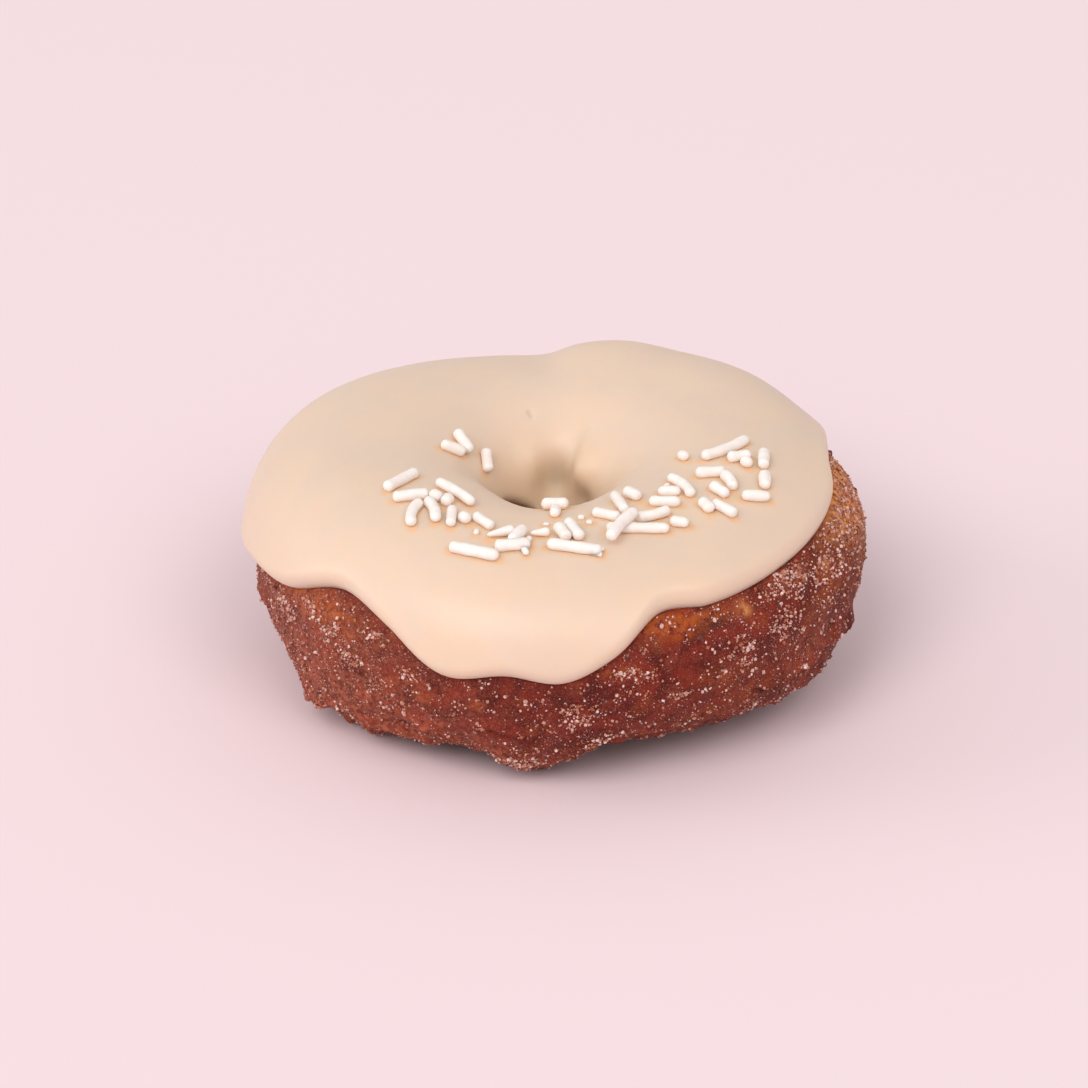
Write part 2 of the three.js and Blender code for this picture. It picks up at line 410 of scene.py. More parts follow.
def sugarCover(ringAngle, sectionAngle, points):
    # the sum of the sugar coat's measures, kept from 0 to 1
    driftSize, drift = sugarCoat["drifts"]
    patchSize, patch = sugarCoat["patches"]
    cover = sugarCoat["allOver"] + drift * noise(points, driftSize, seeds["sugarDrifts"], 2)
    cover = cover + patch * noise(points, patchSize, seeds["sugarPatches"])
    return np.clip(cover + spots(ringAngle, sectionAngle, sugarCoat["places"]), 0, 1)


# Patches of each tone of the crust: a seed, the size of the loose ones, how common they are, and
# the placed ones.
crustTones = {
    "amber": (41, 6.0, 0.1, [
        (-74, 34, 4, 4, 1.0), (-67, 28, 5, 4, 1.0), (-61, 31, 4, 4, 0.8), (-141, 14, 9, 7, 1.1),
        (-105, -12, 0.8, 1.4, 1.0), (-122, -10, 1.2, 1.6, 0.7), (-58, -8, 5, 6, 0.5),
        (-52, -24, 4, 5, 0.5), (-60, -34, 4, 4, 0.6), (-28, 12, 5, 6, 0.5), (-34, 4, 4, 6, 0.4),
        (-79, 8, 2.5, 3, 0.7), (-12, -2, 6, 6, 0.4), (-4, 24, 12, 10, 0.5)]),
    "honey": (43, 7.0, -0.3, [
        (-53, 28, 1.0, 3, 0.9), (-29, 25, 1.4, 3, 0.6), (140, 168, 30, 4, 1.6),
        (-10, 34, 8, 7, 0.9), (2, 40, 12, 8, 1.4), (-3, 20, 8, 10, 0.5)]),
    "haze": (47, 5.0, 0.1, [
        (-156, -5, 22, 30, 0.65), (-140, -38, 20, 14, 0.9), (-112, -48, 22, 9, 0.5),
        (-122, 0, 14, 20, 0.25), (-84, -46, 16, 8, 0.35), (-36, -14, 8, 10, 0.45),
        (-30, -44, 18, 8, 0.4), (0, 0, 8, 20, 0.12), (-40, 31, 5, 4, 0.7)]),
    "charAndShade": (45, 3.5, 0.05, [
        # dark char spots; the first darkens the bare dough in the crack deep in the hole as
        # painted shade
        (140, 182, 28, 7, 1.6), (-61, 25, 2, 2.5, 1.0), (-88, -4, 3, 3, 0.6),
        (-100, -14, 4, 4, 0.4), (-80, 6, 1.5, 2, 0.5)]),
}
toneEdges = {
    "loose": (0.55, 0.95, 0.35),  # where a loose patch starts and is full, and its strength
    "ragged": (1.5, 0.7),  # size and strength of what breaks the placed ones up
}


def crustTone(name, ringAngle, sectionAngle, points):
    # from 0 to 1: the placed patches, broken up by noise, and loose ones where noise is high
    seed, size, common, places = crustTones[name]
    start, full, strength = toneEdges["loose"]
    raggedSize, raggedness = toneEdges["ragged"]
    placed = spots(ringAngle, sectionAngle, places)
    loose = smoothStep(start - common, full - common, noise(points, size, seed, 2))
    ragged = 1 + raggedness * noise(points, raggedSize, seed + 1)
    return np.clip(placed * ragged + strength * loose, 0, 1)


def makeCrust():
    # The ring with its relief on a grid. Rows run from the hole's lower edge under the base, up
    # the side and inwards over the top.
    ringAngle = np.arange(crust["columns"]) * 360 / crust["columns"]
    top = icingEdge(ringAngle)[:, None] + crust["underIcing"]
    inner, rim = crust["holeRow"], crust["rim"]
    base, shown, covered = (np.linspace(0, 1, crust[name], endpoint=False)[None, :]
                            for name in ("rowsBase", "rowsShown", "rowsCovered"))
    section = np.concatenate([inner - 360 + (rim - inner + 360) * base + 0 * top,
                              rim + (top - rim) * shown, top + (inner - top) * covered], 1)
    angle = np.broadcast_to(ringAngle[:, None], section.shape)
    smooth = ringSurface(angle, section)
    # painted shade: darker where the relief is low, as shade falls in hollows and under ledges
    hollowShade = crust["hollowBelow"] - crustRelief(angle, section, smooth)
    tones = {name: crustTone(name, angle, section, smooth) for name in crustTones}
    tones["frost"] = sugarCover(angle, section, smooth)
    tones["hollowShade"] = np.clip(hollowShade, 0, crust["hollowest"])
    return meshPiece("crust", crustSurface(angle, section).reshape(-1, 3),
                     [gridFaces(*section.shape)], tones, replaces=["dough_ring"])


def icingRows(edge, inner):
    # rows from the outer edge to the inner one, closer together towards both
    share = 1 - np.cos(np.linspace(0, np.pi / 2, icing["rowsLip"], endpoint=False))[None, :]
    middle = np.linspace(0, 1, icing["rowsTop"])[None, :]
    lip = icing["lipAngle"]
    return np.concatenate([edge + lip * share, edge + lip + (inner - edge - 2 * lip) * middle,
                           inner - lip * share[:, ::-1] + 0 * edge], 1)


def icingHeight(ringAngle, section):
    # A quarter ellipse lifts the icing from its sunken edges to its height over the dough, with
    # a bead inside the outer edge, slow waves, and the listed dents and folds.
    dough = ringSurface(ringAngle, section)
    step = np.linalg.norm(np.diff(dough, axis=1), axis=-1)
    along = np.concatenate([np.zeros((len(dough), 1)), np.cumsum(step, 1)], 1)
    fromEdge = np.minimum(along, along[:, -1:] - along)
    beadPlace, beadWidth, beadHeight = icing["bead"]
    height = icing["height"] + beadHeight * np.exp(-((along - beadPlace) / beadWidth) ** 2)
    for seed, (size, swell) in enumerate((icing["swell"], icing["ripple"]), seeds["icing"]):
        height = height + swell * noise(dough, size, seed)
    for places in (icing["dents"], icing["folds"]):
        height = height + spots(ringAngle, section, places)
    share = np.clip(fromEdge / icing["lip"], 0, 1)
    return -icing["sunk"] + (height + icing["sunk"]) * np.sqrt(1 - (1 - share) ** 2)


def makeIcing():
    # A coat over the dough. Rows run over its surface from the outer edge to the inner one, and
    # back along its underside.
    ringAngle = np.arange(icing["columns"]) * 360 / icing["columns"]
    edge = icingEdge(ringAngle)[:, None]
    inner = aroundRing(ringAngle, icing["innerEdge"])[:, None]
    shown = icingRows(edge, inner)
    under = edge + (inner - edge) * np.linspace(1, 0, icing["rowsUnder"] + 2)[None, 1:-1]
    section = np.concatenate([shown, under], 1)
    angle = np.broadcast_to(ringAngle[:, None], section.shape)
    rows = shown.shape[1]
    height = np.full(section.shape, -icing["sunk"])
    height[:, :rows] = icingHeight(angle[:, :rows], shown)
    grid = pointsOver(angle, section, height)
    # browner near the inner edge: partly thin icing over dough, partly painted shade by the crack
    beside = smoothStep(icing["stainAndShadeReach"], 0, inner - section)
    tones = {"holeShade": smoothStep(*icing["holeShade"], section),
             "stainAndShade": beside * spots(angle, section, icing["stainAndShade"])}
    piece = meshPiece("icing", grid.reshape(-1, 3), [gridFaces(*grid.shape[:2])], tones,
                      replaces=["icing_cap"])
    return piece, grid[:, :rows]


crustPiece = makeCrust()
icingPiece, icingTop = makeIcing()

# Each sprinkle is (x, y, heading, length, bend, lift): its middle in plan, the way it points
# with 90 away from the front, its length from tip to tip, how many degrees it bends, and how
# high it lies above the icing where it rests on others.
sprinkles = {
    "thickness": (1.5, 1.8),
    "thin": (0.6, 0.9),  # of the bits and splinters
    "ends": (0.65, 1.1),  # length of the rounded ends, in radii
    "taper": 0.65,
    "straight": 1e-3,  # the least bend, in degrees, so that a length can be divided by it
    "waves": (0.04, 1.9),  # how uneven the thickness is, and radians of a wave in 1 mm
    "lowest": 26.0,  # height of the icing above which they lie
    "sunk": 0.2,
    "rings": 22,
    "sides": 18,
    "long": [
        (-14, 3.5, -49, 4.5, 0, 0.3), (-15.2, 0.8, 5, 4, 0, 0), (-10.3, 3.5, -58, 4, 0, 0),
        (-22.3, -14.7, 50, 6.8, 0, 0), (-20.7, -19.6, 12, 5.3, 0, 0), (-20.2, -24, 78, 6, -55, 0),
        (-17.3, -23.3, -76, 5.8, -40, 0), (-14.3, -18.6, -48, 8, -20, 0.3),
        (-17, -19.5, -40, 2, 0, 0), (-14.9, -24.9, 88, 4.6, 0, 0), (-10.3, -26, -48, 4, 0, 0),
        (-5.3, -29.7, 62, 4, 0, 0.3), (-6, -31.8, 8, 5.2, 0, 0), (-11.3, -32.8, -18, 7.4, 0, 0),
        (0.1, -18.4, -4, 4, -20, 0.3), (0.2, -21.2, 85, 3, 0, 0), (1, -28.2, -68, 3.8, 0, 0),
        (3, -27.5, -70, 5.5, 0, 0.1), (3, -32.2, -13, 8, 0, 0), (7.5, -23, -30, 4.5, 0, 0),
        (9.5, -19.9, -75, 6, 0, 0.2), (11.5, -17.2, -55, 3.5, 0, 0), (9.5, -28.2, 62, 8, -25, 1.2),
        (12, -27.2, -2, 9, 0, 0), (14.2, -23.8, 22, 5.2, 35, 0.2), (16, -20.3, -8, 4.6, 0, 0),
        (18, -26, -10, 2.8, 0, 0), (16.7, -17, -5, 3.3, 0, 0), (18.6, -15.3, -62, 6.8, -45, 0),
        (23, -11.8, 3, 4.4, 0, 0), (25.3, -14.4, -72, 4.4, -45, 0), (24, -17.1, -50, 3.6, 0, 0),
        (22, -21.5, -60, 3, 0, 0), (24.5, -21.9, -36, 4.2, -20, 0), (25.5, -4.2, 40, 9, 30, 0),
        (27.4, -7.1, 14, 3.6, 0, 0), (30.7, -7.5, -93, 4.8, 0, 0), (30.5, -13.4, 90, 4, 0, 0),
        (29.3, -17.9, 9, 4.3, 0, 0),
    ],
    "round": [(-15.5, -20.7), (-13, -25.5), (19, -5.5), (28.2, -8.9)],
    "bits": [(-11.3, -28.2), (-1.1, -24.9), (4, -23.2), (5, -24.6), (16.6, -14.2)],
    "roundLength": 2.0,
    "bitLength": 1.0,
    "bitLift": -0.1,
    # thinner towards one end, and splinters at the ends of two that broke: heading and length
    "cones": [(-2, -28.2, 10, 2.8), (-7.6, -29, 24, 4.2)],
    "splinters": [
        (-3.8, -31.2, 80, 3), (-4.3, -32.2, -70, 2.4), (6.2, -32.3, 15, 2.2),
        (5.9, -33.1, -18, 2)],
    "splinterLift": 0.2,
    "sprinkleShade": (0.7, 0.0),  # gaps beside a sprinkle between which painted warm shade on the icing fades out
    "sprinkleShadeForward": 0.3,  # how far it is shifted to the front
    "sprinkleShadeReach": 7.0,  # from the middle of a sprinkle
}


def sprinkleRows(rng):
    # the six measures of each, then whether it is thin and whether it tapers
    rows = [row + (False, False) for row in sprinkles["long"]]
    rows += [(x, y, rng.uniform(0, 180), sprinkles["roundLength"], 0, 0, False, False)
             for x, y in sprinkles["round"]]
    rows += [(x, y, rng.uniform(0, 180), sprinkles["bitLength"], 0, sprinkles["bitLift"], True,
              False) for x, y in sprinkles["bits"]]
    rows += [(*row, 0, 0, False, True) for row in sprinkles["cones"]]
    rows += [(*row, 0, sprinkles["splinterLift"], True, False) for row in sprinkles["splinters"]]
    return np.array(rows, float)


def sprinkleShapes(rng, length, bend, thin, tapered):
    # A capsule swept along an arc of a circle, its middle at the origin. Its radius near either
    # end follows an ellipse over the end's length, which is short where the end is blunt.
    count = len(length)
    radius = rng.uniform(*sprinkles["thickness"], count) / 2
    radius = np.where(thin > 0, rng.uniform(*sprinkles["thin"], count) / 2, radius)
    endLength = radius * rng.uniform(*sprinkles["ends"], count)
    t = (1 - np.cos(np.linspace(0, np.pi, sprinkles["rings"] + 2)[1:-1])) / 2
    s = t * length[:, None]
    fromEnd = np.minimum(s, length[:, None] - s)
    share = np.clip(fromEnd / endLength[:, None], 0, 1)
    thick = radius[:, None] * np.sqrt(1 - (1 - share) ** 2)
    thick = thick * (1 - sprinkles["taper"] * tapered[:, None] * (1 - t))
    waveStart = rng.uniform(0, 2 * np.pi, (count, 1))
    waveHeight, waveTurns = sprinkles["waves"]
    thick = thick * (1 + waveHeight * np.sin(waveStart + s * waveTurns))

    bow = np.radians(np.where(bend == 0, sprinkles["straight"], bend))[:, None]

    def arc(curl):
        # the places at these angles of the arc, counted from its middle
        return length[:, None] * np.sin(curl) / bow, length[:, None] * (1 - np.cos(curl)) / bow

    curl = bow * (t - 0.5)
    forward, aside = arc(curl)
    middleAside = aside.mean(1, keepdims=True)
    turn = np.linspace(0, 2 * np.pi, sprinkles["sides"], endpoint=False)
    across = thick[:, :, None] * np.cos(turn)
    rings = np.stack([forward[:, :, None] - across * np.sin(curl)[:, :, None],
                      (aside - middleAside)[:, :, None] + across * np.cos(curl)[:, :, None],
                      thick[:, :, None] * np.sin(turn)], -1)
    poleForward, poleAside = arc(bow * (-0.5, 0.5))
    poles = np.stack([poleForward, poleAside - middleAside, 0 * poleForward], -1)
    return np.concatenate([rings.reshape(count, -1, 3), poles], 1), radius


def icingFrames(x, y, heading):
    # The point of the icing nearest to each place as seen from above, and three axes there: the
    # heading laid on the icing, the side and the normal.
    top = icingTop[:, icing["rowsLip"]:-icing["rowsLip"]]
    place = top.reshape(-1, 3)
    away = (place[None, :, 0] - x[:, None]) ** 2 + (place[None, :, 1] - y[:, None]) ** 2
    away = np.where(place[None, :, 2] > sprinkles["lowest"], away, np.inf)
    nearest = np.argmin(away, 1)
    alongRing = np.roll(top, -2, 0) - np.roll(top, 2, 0)
    up = unit(np.cross(alongRing, np.gradient(top, axis=1)).reshape(-1, 3)[nearest])
    turn = np.radians(heading)
    ahead = np.stack([np.cos(turn), np.sin(turn), 0 * turn], -1)
    ahead = unit(ahead - up * (ahead * up).sum(-1, keepdims=True))
    return place[nearest], np.stack([ahead, np.cross(up, ahead), up], 1)


def makeSprinkles():
    # each shape turned to the icing under it and sunk a little into it
    rng = np.random.default_rng(seeds["sprinkles"])
    x, y, heading, length, bend, lift, thin, tapered = sprinkleRows(rng).T
    local, radius = sprinkleShapes(rng, length, bend, thin, tapered)
    foot, axes = icingFrames(x, y, heading)
    middle = foot + axes[:, 2] * (radius - sprinkles["sunk"] + lift)[:, None]
    points = middle[:, None] + np.einsum("nij,njk->nik", local, axes)
    rings, sides, count = sprinkles["rings"], sprinkles["sides"], len(x)
    piece = meshPiece("sprinkles", points.reshape(-1, 3), capsuleFaces(rings, sides, count),
                      {})
    axis = points[:, :-2].reshape(count, rings, sides, 3).mean(2)
    return piece, axis, radius


def paintSprinkleShade(axis, radius):
    # Icing lets light through, so that it looks warmer close to a sprinkle; this is painted here
    # as
    # warm shade on the icing: 1 beside it, fading out over the gap, and a little stronger in front
    # of it.
    mesh = icingPiece.data
    points = np.empty(len(mesh.vertices) * 3, np.float32)
    mesh.vertices.foreach_get("co", points)
    points = points.reshape(-1, 3) / mm + (0, sprinkles["sprinkleShadeForward"], 0)
    gap = np.full(len(points), sprinkles["sprinkleShadeReach"])
    for line, thick in zip(axis, radius):
        near = np.flatnonzero(((points - line.mean(0)) ** 2).sum(-1) < sprinkles["sprinkleShadeReach"] ** 2)
        away = np.linalg.norm(points[near, None] - line[None], axis=-1).min(1)
        gap[near] = np.minimum(gap[near], away - thick)
    column = mesh.attributes.new("sprinkleShade", "FLOAT", "POINT")
    column.data.foreach_set("value", smoothStep(*sprinkles["sprinkleShade"], gap).astype(np.float32))


sprinklePiece, sprinkleAxis, sprinkleRadius = makeSprinkles()
paintSprinkleShade(sprinkleAxis, sprinkleRadius)

# The profile of a grain: heights and widths of its rings, and the height of its two poles.
crystal = ((0.0,), (1.0,), 1.0)
block = ((-0.7, 0.7), (1.0, 1.0), 0.9)
crumbHeight = -np.cos(np.pi * (np.arange(5) + 0.5) / 5)
lump = (crumbHeight, np.sqrt(1 - crumbHeight ** 2), 1.0)

# A higher skew makes large ones rarer, and a higher dull makes light ones rarer. Each is sunk by
# a share of its size and roughened by a share of its radius. Patches are their size, how many
# lie between them and a seed, and least is how many lie anywhere.
scattered = {
    "sugar_fine": {"count": 24000, "size": (0.14, 0.32), "skew": 1.5, "stretch": (0.7, 1.2),
                   "profile": crystal, "sides": 4, "sunk": 0.3, "dull": 3.0, "rough": 0.12,
                   "patches": (1.4, 0.35, 33), "least": 0.03, "seed": 71},
    "sugar_coarse": {"count": 6500, "size": (0.24, 0.56), "skew": 3.0, "stretch": (0.7, 1.25),
                     "profile": block, "sides": 4, "sunk": 0.3, "dull": 1.6, "rough": 0.12,
                     "patches": (1.8, 0.6, 35), "least": 0.02, "seed": 72},
    "crust_crumbs": {"count": 450, "size": (0.4, 1.1), "skew": 1.0, "stretch": (0.6, 1.2),
                     "profile": lump, "sides": 7, "sunk": 0.6, "dull": 2.0, "rough": 0.12,
                     "patches": (4.0, 0.2, 36), "least": 0.01, "seed": 73},
}
# coarse sugar: where it lies thick, its clumps where noise of some size is high, and placed ones
sugarHeaps = {
    "thick": [(-12, 32, 8, 12, 0.45), (-30, 26, 10, 8, 0.4)],
    "clumpSize": 1.5,
    "clumpRange": (0.3, 0.8),
    "clumpShare": 0.8,
    "placed": [
        (-88, -12, 1.0, 1.2, 6), (-86, -18, 1.0, 1.4, 6), (-78, 6, 1.0, 1.2, 5),
        (-74, 3, 0.9, 1.2, 5), (-68, -12, 0.9, 1.2, 4), (-54, 6, 1.0, 1.4, 7),
        (-54, -3, 0.9, 1.2, 5), (-44, 11, 1.6, 1.6, 6), (-57, 3, 0.9, 1.0, 4),
        (-41, 31, 4, 3, 1.5), (-98, -46, 2.0, 1.4, 5), (-82, -36, 1.4, 1.4, 5),
        (-142, 12, 1.2, 1.8, 4), (-137, 4, 1.2, 1.6, 4), (-131, -6, 1.2, 1.6, 4),
        (-152, -2, 1.4, 2.0, 4), (-126, 14, 1.0, 1.4, 3), (-118, -4, 1.0, 1.4, 3)],
}
crumbPlaces = {"rim": (-30, -55), "rimShare": 0.8,
               "placed": [(-5, 30, 12, 14, 0.4), (-35, -32, 14, 6, 1.0)]}
bareBand = {"overRim": 4, "underIcing": 1.0, "triesForEach": 10}


def randomTurns(rng, count):
    # rotations from unit quaternions drawn evenly over their sphere
    w, x, y, z = unit(rng.normal(size=(count, 4))).T
    rows = [[1 - 2 * (y * y + z * z), 2 * (x * y - z * w), 2 * (x * z + y * w)],
            [2 * (x * y + z * w), 1 - 2 * (x * x + z * z), 2 * (y * z - x * w)],
            [2 * (x * z - y * w), 2 * (y * z + x * w), 1 - 2 * (x * x + y * y)]]
    return np.moveaxis(np.array(rows), -1, 0)


def scatter(rng, count, density):
    # places on the bare crust, drawn as often as the area there times the density
    tries = count * bareBand["triesForEach"]
    ringAngle = rng.uniform(-180, 180, tries)
    low = crust["rim"] + bareBand["overRim"]
    high = icingEdge(ringAngle) - bareBand["underIcing"]
    sectionAngle = low + (high - low) * rng.random(tries)
    area = np.linalg.norm(crossOfTangents(ringAngle, sectionAngle), axis=-1)
    smooth = ringSurface(ringAngle, sectionAngle)
    chance = area * (high - low) * density(ringAngle, sectionAngle, smooth)
    chosen = rng.choice(tries, count, replace=False, p=chance / chance.sum())
    return ringAngle[chosen], sectionAngle[chosen]


def inPatches(name, points, least=0):
    # noise above what lies between the patches, and never under the least
    size, between, seed = scattered[name]["patches"]
    return np.clip(between + noise(points, size, seed), least, None)


def fineDensity(ringAngle, sectionAngle, points):
    # the sugar coat in small patches
    patches = inPatches("sugar_fine", points, scattered["sugar_fine"]["least"])
    return sugarCover(ringAngle, sectionAngle, points) * patches


def coarseDensity(ringAngle, sectionAngle, points):
    # patches where it lies thick, clumps as the sugar coat allows, and the placed clumps
    thick = spots(ringAngle, sectionAngle, sugarHeaps["thick"])
    clumps = noise(points, sugarHeaps["clumpSize"], seeds["sugarClumps"])
    clumps = sugarHeaps["clumpShare"] * smoothStep(*sugarHeaps["clumpRange"], clumps)
    return (thick * inPatches("sugar_coarse", points)
            + clumps * sugarCover(ringAngle, sectionAngle, points)
            + scattered["sugar_coarse"]["least"]
            + spots(ringAngle, sectionAngle, sugarHeaps["placed"]))


def crumbDensity(ringAngle, sectionAngle, points):
    # patches along the lower edge and at two places
    low = crumbPlaces["rimShare"] * smoothStep(*crumbPlaces["rim"], sectionAngle)
    placed = spots(ringAngle, sectionAngle, crumbPlaces["placed"])
    patches = inPatches("crust_crumbs", points)
    return scattered["crust_crumbs"]["least"] + (low + placed) * patches


def makeScattered(name, density, smooth=False):
    # Small solids of a few rings of points and two poles, each stretched, roughened, turned at
    # random and sunk a little into the crust.
    size = scattered[name]
    rng = np.random.default_rng(size["seed"])
    height, wide, pole = size["profile"]
    count, rings, sides = size["count"], len(height), size["sides"]
    ringAngle, sectionAngle = scatter(rng, count, density)
    turn = np.linspace(0, 2 * np.pi, sides, endpoint=False)
    body = np.stack([np.outer(wide, np.cos(turn)), np.outer(wide, np.sin(turn)),
                     np.outer(height, np.ones(sides))], -1).reshape(-1, 3)
    body = np.concatenate([body, [[0, 0, -pole], [0, 0, pole]]])
    smallest, largest = size["size"]
    radius = (smallest + (largest - smallest) * rng.random(count) ** size["skew"]) / 2
    local = body[None] * rng.uniform(*size["stretch"], (count, 1, 3)) * radius[:, None, None]
    local = local * (1 + size["rough"] * rng.normal(size=(count, len(body), 1)))
    local = np.einsum("nij,njk->nik", local, randomTurns(rng, count))
    lift = ringNormals(ringAngle, sectionAngle) * (radius * (1 - 2 * size["sunk"]))[:, None]
    middle = crustSurface(ringAngle, sectionAngle) + lift
    points = middle[:, None] + local
    points[..., 2] = np.maximum(points[..., 2], 0)
    tone = np.repeat(rng.random(count) ** size["dull"], len(body))
    return meshPiece(name, points.reshape(-1, 3), capsuleFaces(rings, sides, count),
                     {"tone": tone}, smooth)


fineSugar = makeScattered("sugar_fine", fineDensity)
coarseSugar = makeScattered("sugar_coarse", coarseDensity)
crumbs = makeScattered("crust_crumbs", crumbDensity, True)


def screen(red, green, blue):
    # a colour as a screen gives it, 0 to 255, worked out as linear light
    part = np.array([red, green, blue]) / 255
    linear = np.where(part > 0.04045, ((part + 0.055) / 1.055) ** 2.4, part / 12.92)
    return (*(float(value) for value in linear), 1.0)


class Wire:
    # One output of a node. Arithmetic on it adds Math nodes to its finish.
    def __init__(self, finish, socket):
        self.finish = finish
        self.socket = socket

    def math(self, operation, first, second):
        inputs = {"Value": first, "Value_001": second}
        return self.finish.node("Math", {"operation": operation}, inputs)

    def __add__(self, other):
        return self.math("ADD", self, other)

    def __sub__(self, other):
        return self.math("SUBTRACT", self, other)

    def __rsub__(self, other):
        return self.math("SUBTRACT", other, self)

    def __mul__(self, other):
        return self.math("MULTIPLY", self, other)

    __radd__ = __add__
    __rmul__ = __mul__

    def between(self, low, high):
        # 0 at low, 1 at high and a smooth step between them
        return self.finish.node("MapRange", {"interpolation_type": "SMOOTHSTEP"},
                                {"Value": self, "From Min": low, "From Max": high}, "Result")


class Finish:
    # A procedural material. What is the same all over is set on the shader's own sockets.
    def __init__(self, name, **fixed):
        self.material = bpy.data.materials.new(name)
        self.material.use_nodes = True
        self.tree = self.material.node_tree
        self.shader = self.tree.nodes["Principled BSDF"]
        for label, value in fixed.items():
            self.shader.inputs[label.replace("_", " ")].default_value = value

    def feed(self, node, label, value):
        socket = next(socket for socket in node.inputs if socket.identifier == label)
        if isinstance(value, Wire):
            self.tree.links.new(value.socket, socket)
        else:
            socket.default_value = value

    def node(self, kind, settings, inputs, output="Value"):
        # a node's type, its settings, its sockets' values or links, and the output that is used
        made = self.tree.nodes.new("ShaderNode" + kind)
        for label, value in settings.items():
            setattr(made, label, value)
        for label, value in inputs.items():
            self.feed(made, label, value)
        return Wire(self, next(socket for socket in made.outputs if socket.identifier == output))

    def coat(self, **inputs):
        # the shader's varying sockets
        for label, value in inputs.items():
            self.feed(self.shader, label.replace("_", " "), value)

    def place(self):
        # the point's own coordinates in the piece
        return self.node("TexCoord", {}, {}, "Object")

    def attribute(self, name):
        # the values painted on the piece's points
        return self.node("Attribute", {"attribute_name": name}, {}, "Fac")

    def grain(self, size, detail):
        # soft noise from 0 to 1, with its size in millimetres
        inputs = {"Vector": self.place(), "Scale": 1 / (size * mm), "Detail": detail}
        return self.node("TexNoise", {}, inputs, "Fac")

    def cells(self, size):
        # the distance from scattered seeds, in seed spacings
        inputs = {"Vector": self.place(), "Scale": 1 / (size * mm)}
        return self.node("TexVoronoi", {}, inputs, "Distance")

    def mix(self, share, first, second):
        # the first colour at a share of 0 and the second at 1
        inputs = {"Factor_Float": share, "A_Color": first, "B_Color": second}
        return self.node("Mix", {"data_type": "RGBA"}, inputs, "Result_Color")

    def layers(self, colour, look, shares):
        # each tone of the look laid over the last, by its share times its strength
        for name, share in shares.items():
            tone, strength = look[name]
            colour = self.mix(share * strength, colour, tone)
        return colour

    def bump(self, height, distance):
        # a relief of the given height in millimetres
        return self.node("Bump", {}, {"Height": height, "Distance": distance * mm}, "Normal")

    def skin(self, colour, look):
        # the colour, and a relief of plain noise
        bumps = self.bump(self.grain(*look["bumps"]), look["relief"])
        self.coat(Base_Color=colour, Normal=bumps)


# A look's pairs of colours are the ends that noise mixes. Its other colours are laid over them,
# each with a strength. Noise has a size in millimetres and a detail, and relief is a height.
crustLook = {
    "dough": (screen(88, 24, 19), screen(122, 39, 26)),
    "dark": (screen(72, 22, 20), 0.6),
    "amber": (screen(162, 76, 24), 1),
    "honey": (screen(222, 148, 84), 1),
    # char spots, and painted shade in the crack in the hole
    "charAndShade": (screen(58, 26, 26), 0.8),
    # painted shade in the crust's hollows
    "hollowShade": (screen(48, 18, 18), 0.7),
    "haze": (screen(200, 114, 80), 1),
    # light specks: sugar, and painted glints standing in for its sparkle
    "speckAndGlint": (screen(204, 124, 96), 0.22),
    "dust": (screen(204, 146, 136), 0.3),
    "broad": (4.0, 3.0),
    "fine": (0.9, 3.0),
    "hazy": (0.8, 4.0),
    "speckSize": 0.3,
    "dustSize": 0.42,
    "bumps": (0.7, 4.0),
    "relief": 0.18,
}
icingLook = {
    "cream": (screen(224, 200, 180), screen(227, 201, 178)),
    # painted warm shade down in the hole
    "holeShade": (screen(222, 190, 152), 0.5),
    # painted warm shade beside the sprinkles
    "sprinkleShade": (screen(238, 186, 136), 0.7),
    # browner by bare dough, partly painted shade by the crack in the hole
    "stainAndShade": (screen(150, 100, 62), 0.8),
    "cloud": (9.0, 3.0),
    "bumps": (3.5, 3.0),
    "relief": 0.05,
}
sprinkleLook = {
    "white": (screen(238, 228, 222), screen(243, 235, 230)),
    "cloud": (1.2, 2.0),
    "bumps": (0.4, 2.0),
    "relief": 0.03,
}
sugarLook = {
    "fine_sugar": (screen(134, 62, 46), screen(222, 176, 168)),
    "coarse_sugar": (screen(168, 92, 60), screen(236, 204, 196)),
}
crumbLook = {
    "dough": (screen(96, 40, 32), screen(168, 92, 44)),
    "dust": (screen(206, 160, 150), 0.5),
    "dusty": (0.5, 2.0),
    "bumps": (0.4, 3.0),
    "relief": 0.1,
}


def crustFinish():
    # brown dough, darker in its grain, with the painted patches and then the sugar over it; its
    # hollows and the crack in the hole get painted shade, and its light specks are partly painted
    # glints
    look = crustLook
    finish = Finish("fried_crust", Specular_IOR_Level=0.15)
    fine = finish.grain(*look["fine"])
    hazy = 0.1 + 0.45 * finish.grain(*look["hazy"]).between(0.35, 0.65)
    # light dots over the whole crust, partly sugar and partly painted glints
    speckAndGlint = 1 - finish.cells(look["speckSize"]).between(0.15, 0.45)
    dust = 1 - finish.cells(look["dustSize"]).between(0.14, 0.38)
    dust = dust * finish.attribute("frost").between(0.2, 1.0)
    colour = finish.mix(finish.grain(*look["broad"]).between(0.38, 0.62), *look["dough"])
    colour = finish.layers(colour, look, {
        "dark": fine.between(0.45, 0.75),
        "amber": finish.attribute("amber") * fine.between(0.3, 0.6),
        "honey": finish.attribute("honey") * fine.between(0.25, 0.6),
        "charAndShade": finish.attribute("charAndShade"),
        # painted shade in the hollows
        "hollowShade": finish.attribute("hollowShade").between(0.75, 1.4),
        "haze": finish.attribute("haze") * hazy,
        "speckAndGlint": speckAndGlint,
        "dust": dust,
    })
    bumps = finish.bump(finish.grain(*look["bumps"]) + dust * 0.6, look["relief"])
    finish.coat(Base_Color=colour, Roughness=0.42 + 0.3 * fine, Normal=bumps)
    return finish.material


